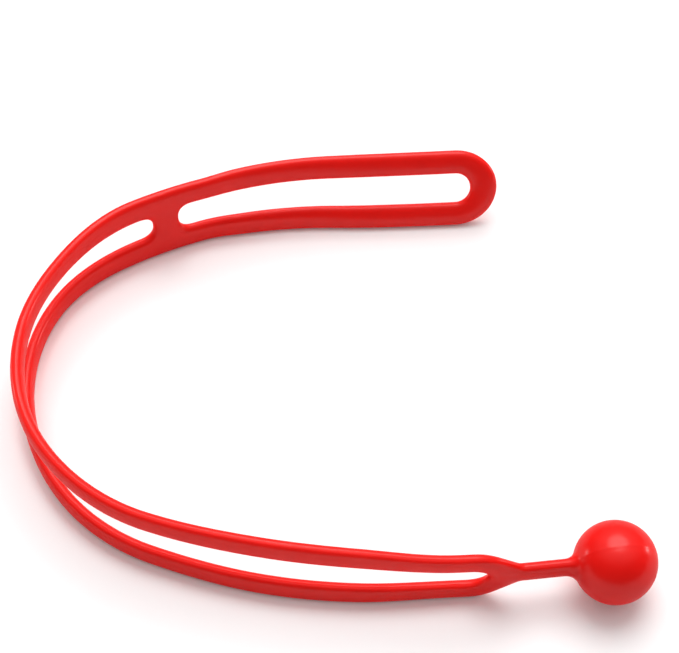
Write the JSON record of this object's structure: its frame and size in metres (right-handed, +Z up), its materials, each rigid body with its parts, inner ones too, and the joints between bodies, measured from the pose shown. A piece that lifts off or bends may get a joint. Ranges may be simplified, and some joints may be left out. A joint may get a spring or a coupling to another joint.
{
  "type": "ball tie",
  "caption": "Elastic ball tie: a moulded strap with a ball on a neck, a long slotted loop, a cross bridge and a round slotted end, laid in an open C; the ball locks in a slot.",
  "frame": {"origin": "on the floor, under the middle of the bounding box", "axes": "+Z up, +X along the arms of the C towards its mouth, -Y towards the ball arm"},
  "size_m": [0.1416, 0.1182, 0.0196],
  "materials": {
    "red_elastomer": "smooth glossy moulding"
  },
  "bodies": {
    "ball_end": {"ball": "red_elastomer", "neck": "red_elastomer"},
    "fork": {"fork": "red_elastomer"},
    "long_link_1": {"long_upper_rail_1": "red_elastomer", "long_lower_rail_1": "red_elastomer"},
    "long_link_2": {"long_upper_rail_2": "red_elastomer", "long_lower_rail_2": "red_elastomer"},
    "long_link_3": {"long_upper_rail_3": "red_elastomer", "long_lower_rail_3": "red_elastomer"},
    "long_link_4": {"long_upper_rail_4": "red_elastomer", "long_lower_rail_4": "red_elastomer"},
    "long_link_5": {"long_upper_rail_5": "red_elastomer", "long_lower_rail_5": "red_elastomer"},
    "long_link_6": {"long_upper_rail_6": "red_elastomer", "long_lower_rail_6": "red_elastomer"},
    "long_link_7": {"long_upper_rail_7": "red_elastomer", "long_lower_rail_7": "red_elastomer"},
    "long_link_8": {"long_upper_rail_8": "red_elastomer", "long_lower_rail_8": "red_elastomer"},
    "long_link_9": {"long_upper_rail_9": "red_elastomer", "long_lower_rail_9": "red_elastomer"},
    "long_link_10": {"long_upper_rail_10": "red_elastomer", "long_lower_rail_10": "red_elastomer"},
    "long_link_11": {"long_upper_rail_11": "red_elastomer", "long_lower_rail_11": "red_elastomer"},
    "long_link_12": {"long_upper_rail_12": "red_elastomer", "long_lower_rail_12": "red_elastomer"},
    "long_link_13": {"long_upper_rail_13": "red_elastomer", "long_lower_rail_13": "red_elastomer"},
    "long_link_14": {"long_upper_rail_14": "red_elastomer", "long_lower_rail_14": "red_elastomer"},
    "long_link_15": {"long_upper_rail_15": "red_elastomer", "long_lower_rail_15": "red_elastomer"},
    "long_link_16": {"long_upper_rail_16": "red_elastomer", "long_lower_rail_16": "red_elastomer"},
    "bridge": {"bridge": "red_elastomer"},
    "end_link_1": {"end_upper_rail_1": "red_elastomer", "end_lower_rail_1": "red_elastomer"},
    "end_link_2": {"end_upper_rail_2": "red_elastomer", "end_lower_rail_2": "red_elastomer"},
    "end_link_3": {"end_upper_rail_3": "red_elastomer", "end_lower_rail_3": "red_elastomer"},
    "end_link_4": {"end_upper_rail_4": "red_elastomer", "end_lower_rail_4": "red_elastomer"},
    "end_link_5": {"end_upper_rail_5": "red_elastomer", "end_lower_rail_5": "red_elastomer"},
    "end_link_6": {"end_upper_rail_6": "red_elastomer", "end_lower_rail_6": "red_elastomer"},
    "end_bow": {"end_bow": "red_elastomer"}
  },
  "joints": [
    {"name": "ball_arm_curl", "type": "hinge", "parent": "long_link_11", "child": "long_link_10", "pos_m": [-0.06571, -0.01749, 0.0098], "axis": [-0.0631, -0.0253, 0.9977], "range_deg": [-12.8, 2.8], "stiffness_Nm_per_rad": 0.0052},
    {"name": "ball_arm_flex_9", "type": "hinge", "parent": "long_link_10", "child": "long_link_9", "pos_m": [-0.06066, -0.02688, 0.0098], "axis": [-0.0424, -0.0293, 0.9987], "range_deg": [-13, 3], "stiffness_Nm_per_rad": 0.0052},
    {"name": "ball_arm_flex_8", "type": "hinge", "parent": "long_link_9", "child": "long_link_8", "pos_m": [-0.05366, -0.03491, 0.0098], "axis": [-0.0153, -0.0167, 0.9997], "range_deg": [-13, 3], "stiffness_Nm_per_rad": 0.0052},
    {"name": "ball_arm_flex_7", "type": "hinge", "parent": "long_link_8", "child": "long_link_7", "pos_m": [-0.04505, -0.04119, 0.0098], "axis": [-0.0023, -0.0041, 1], "range_deg": [-13, 3], "stiffness_Nm_per_rad": 0.0052},
    {"name": "ball_arm_flex_6", "type": "hinge", "parent": "long_link_7", "child": "long_link_6", "pos_m": [-0.03527, -0.04544, 0.0098], "axis": [0.0051, 0.0149, 0.9999], "range_deg": [-6.47, 1.57], "stiffness_Nm_per_rad": 0.0052},
    {"name": "ball_arm_flex_5", "type": "hinge", "parent": "long_link_6", "child": "long_link_5", "pos_m": [-0.02505, -0.04855, 0.0098], "axis": [0.0135, 0.0508, 0.9986], "range_deg": [-4.3, 1.1], "stiffness_Nm_per_rad": 0.0052},
    {"name": "ball_arm_flex_4", "type": "hinge", "parent": "long_link_5", "child": "long_link_4", "pos_m": [-0.01464, -0.05092, 0.0098], "axis": [0.015, 0.0788, 0.9968], "range_deg": [-4.3, 1.1], "stiffness_Nm_per_rad": 0.0052},
    {"name": "ball_arm_flex_3", "type": "hinge", "parent": "long_link_4", "child": "long_link_3", "pos_m": [-0.00408, -0.05253, 0.0098], "axis": [0.0089, 0.0761, 0.9971], "range_deg": [-4.04, 1.04], "stiffness_Nm_per_rad": 0.0052},
    {"name": "ball_arm_flex_2", "type": "hinge", "parent": "long_link_3", "child": "long_link_2", "pos_m": [0.00656, -0.05344, 0.0098], "axis": [0.0026, 0.0453, 0.999], "range_deg": [-3.27, 0.87], "stiffness_Nm_per_rad": 0.0052},
    {"name": "ball_arm_flex_1", "type": "hinge", "parent": "long_link_2", "child": "long_link_1", "pos_m": [0.01724, -0.05377, 0.0098], "axis": [-0.0002, -0.0451, 0.999], "range_deg": [-3.27, 0.87], "stiffness_Nm_per_rad": 0.0052},
    {"name": "fork_flex", "type": "hinge", "parent": "long_link_1", "child": "fork", "pos_m": [0.02791, -0.05353, 0.00978], "axis": [0.0054, -0.1113, 0.9938], "range_deg": [-4.42, 1.12], "stiffness_Nm_per_rad": 0.0052},
    {"name": "neck_bend", "type": "hinge", "parent": "fork", "child": "ball_end", "pos_m": [0.04708, -0.05175, 0.00978], "axis": [0.013, -0.1107, 0.9938], "range_deg": [-45, 45], "stiffness_Nm_per_rad": 0.0023},
    {"name": "tail_arm_curl", "type": "hinge", "parent": "long_link_11", "child": "long_link_12", "pos_m": [-0.06853, -0.00721, 0.0098], "axis": [0.0431, 0.0068, -0.999], "range_deg": [-12.8, 2.8], "stiffness_Nm_per_rad": 0.0052},
    {"name": "tail_arm_flex_1", "type": "hinge", "parent": "long_link_12", "child": "long_link_13", "pos_m": [-0.069, 0.00344, 0.0098], "axis": [0.007, -0.0005, -1], "range_deg": [-13.64, 3.14], "stiffness_Nm_per_rad": 0.0052},
    {"name": "tail_arm_flex_2", "type": "hinge", "parent": "long_link_13", "child": "long_link_14", "pos_m": [-0.06698, 0.0139, 0.0098], "axis": [-0.0298, 0.0096, -0.9995], "range_deg": [-13.9, 3.2], "stiffness_Nm_per_rad": 0.0052},
    {"name": "tail_arm_flex_3", "type": "hinge", "parent": "long_link_14", "child": "long_link_15", "pos_m": [-0.06253, 0.02358, 0.0098], "axis": [-0.0387, 0.0237, -0.999], "range_deg": [-13.9, 3.2], "stiffness_Nm_per_rad": 0.0052},
    {"name": "tail_arm_flex_4", "type": "hinge", "parent": "long_link_15", "child": "long_link_16", "pos_m": [-0.05591, 0.03193, 0.0098], "axis": [0.0124, -0.0126, -0.9998], "range_deg": [-13.9, 3.2], "stiffness_Nm_per_rad": 0.0052},
    {"name": "bridge_flex", "type": "hinge", "parent": "long_link_16", "child": "bridge", "pos_m": [-0.0475, 0.03847, 0.00979], "axis": [0.0448, -0.0747, -0.9962], "range_deg": [-13.77, 3.17], "stiffness_Nm_per_rad": 0.0052},
    {"name": "end_loop_curl", "type": "hinge", "parent": "bridge", "child": "end_link_1", "pos_m": [-0.03038, 0.04619, 0.00979], "axis": [0.0288, -0.0823, -0.9962], "range_deg": [-14, 14], "stiffness_Nm_per_rad": 0.0056},
    {"name": "end_loop_flex_1", "type": "hinge", "parent": "end_link_1", "child": "end_link_2", "pos_m": [-0.02087, 0.04904, 0.00974], "axis": [0.0389, -0.155, -0.9872], "range_deg": [-14.2, 14.2], "stiffness_Nm_per_rad": 0.0056},
    {"name": "end_loop_flex_2", "type": "hinge", "parent": "end_link_2", "child": "end_link_3", "pos_m": [-0.01114, 0.05102, 0.00956], "axis": [0.0421, -0.269, -0.9622], "range_deg": [-14.2, 14.2], "stiffness_Nm_per_rad": 0.0056},
    {"name": "end_loop_flex_3", "type": "hinge", "parent": "end_link_3", "child": "end_link_4", "pos_m": [-0.00127, 0.05211, 0.00936], "axis": [0.0228, -0.3513, -0.936], "range_deg": [-14.2, 14.2], "stiffness_Nm_per_rad": 0.0056},
    {"name": "end_loop_flex_4", "type": "hinge", "parent": "end_link_4", "child": "end_link_5", "pos_m": [0.00865, 0.05262, 0.00916], "axis": [0.0217, -0.4109, -0.9114], "range_deg": [-14.2, 14.2], "stiffness_Nm_per_rad": 0.0056},
    {"name": "end_loop_flex_5", "type": "hinge", "parent": "end_link_5", "child": "end_link_6", "pos_m": [0.01857, 0.05317, 0.00908], "axis": [0.025, -0.4334, -0.9008], "range_deg": [-14.2, 14.2], "stiffness_Nm_per_rad": 0.0056},
    {"name": "end_bow_flex", "type": "hinge", "parent": "end_link_6", "child": "end_bow", "pos_m": [0.02848, 0.05377, 0.00906], "axis": [0.0275, -0.4391, -0.898], "range_deg": [-14.2, 14.2], "stiffness_Nm_per_rad": 0.0056}
  ],
  "couplings": [
    {"joint": "ball_arm_flex_9", "follows": "ball_arm_curl", "ratio": 1},
    {"joint": "ball_arm_flex_8", "follows": "ball_arm_curl", "ratio": 1},
    {"joint": "ball_arm_flex_7", "follows": "ball_arm_curl", "ratio": 1},
    {"joint": "ball_arm_flex_6", "follows": "ball_arm_curl", "ratio": 0.49},
    {"joint": "ball_arm_flex_5", "follows": "ball_arm_curl", "ratio": 0.32},
    {"joint": "ball_arm_flex_4", "follows": "ball_arm_curl", "ratio": 0.32},
    {"joint": "ball_arm_flex_3", "follows": "ball_arm_curl", "ratio": 0.3},
    {"joint": "ball_arm_flex_2", "follows": "ball_arm_curl", "ratio": 0.24},
    {"joint": "ball_arm_flex_1", "follows": "ball_arm_curl", "ratio": 0.24},
    {"joint": "fork_flex", "follows": "ball_arm_curl", "ratio": 0.33},
    {"joint": "tail_arm_flex_1", "follows": "tail_arm_curl", "ratio": 1.05},
    {"joint": "tail_arm_flex_2", "follows": "tail_arm_curl", "ratio": 1.07},
    {"joint": "tail_arm_flex_3", "follows": "tail_arm_curl", "ratio": 1.07},
    {"joint": "tail_arm_flex_4", "follows": "tail_arm_curl", "ratio": 1.07},
    {"joint": "bridge_flex", "follows": "tail_arm_curl", "ratio": 1.06},
    {"joint": "end_loop_flex_1", "follows": "end_loop_curl", "ratio": 1},
    {"joint": "end_loop_flex_2", "follows": "end_loop_curl", "ratio": 1},
    {"joint": "end_loop_flex_3", "follows": "end_loop_curl", "ratio": 1},
    {"joint": "end_loop_flex_4", "follows": "end_loop_curl", "ratio": 1},
    {"joint": "end_loop_flex_5", "follows": "end_loop_curl", "ratio": 1},
    {"joint": "end_bow_flex", "follows": "end_loop_curl", "ratio": 1}
  ]
}
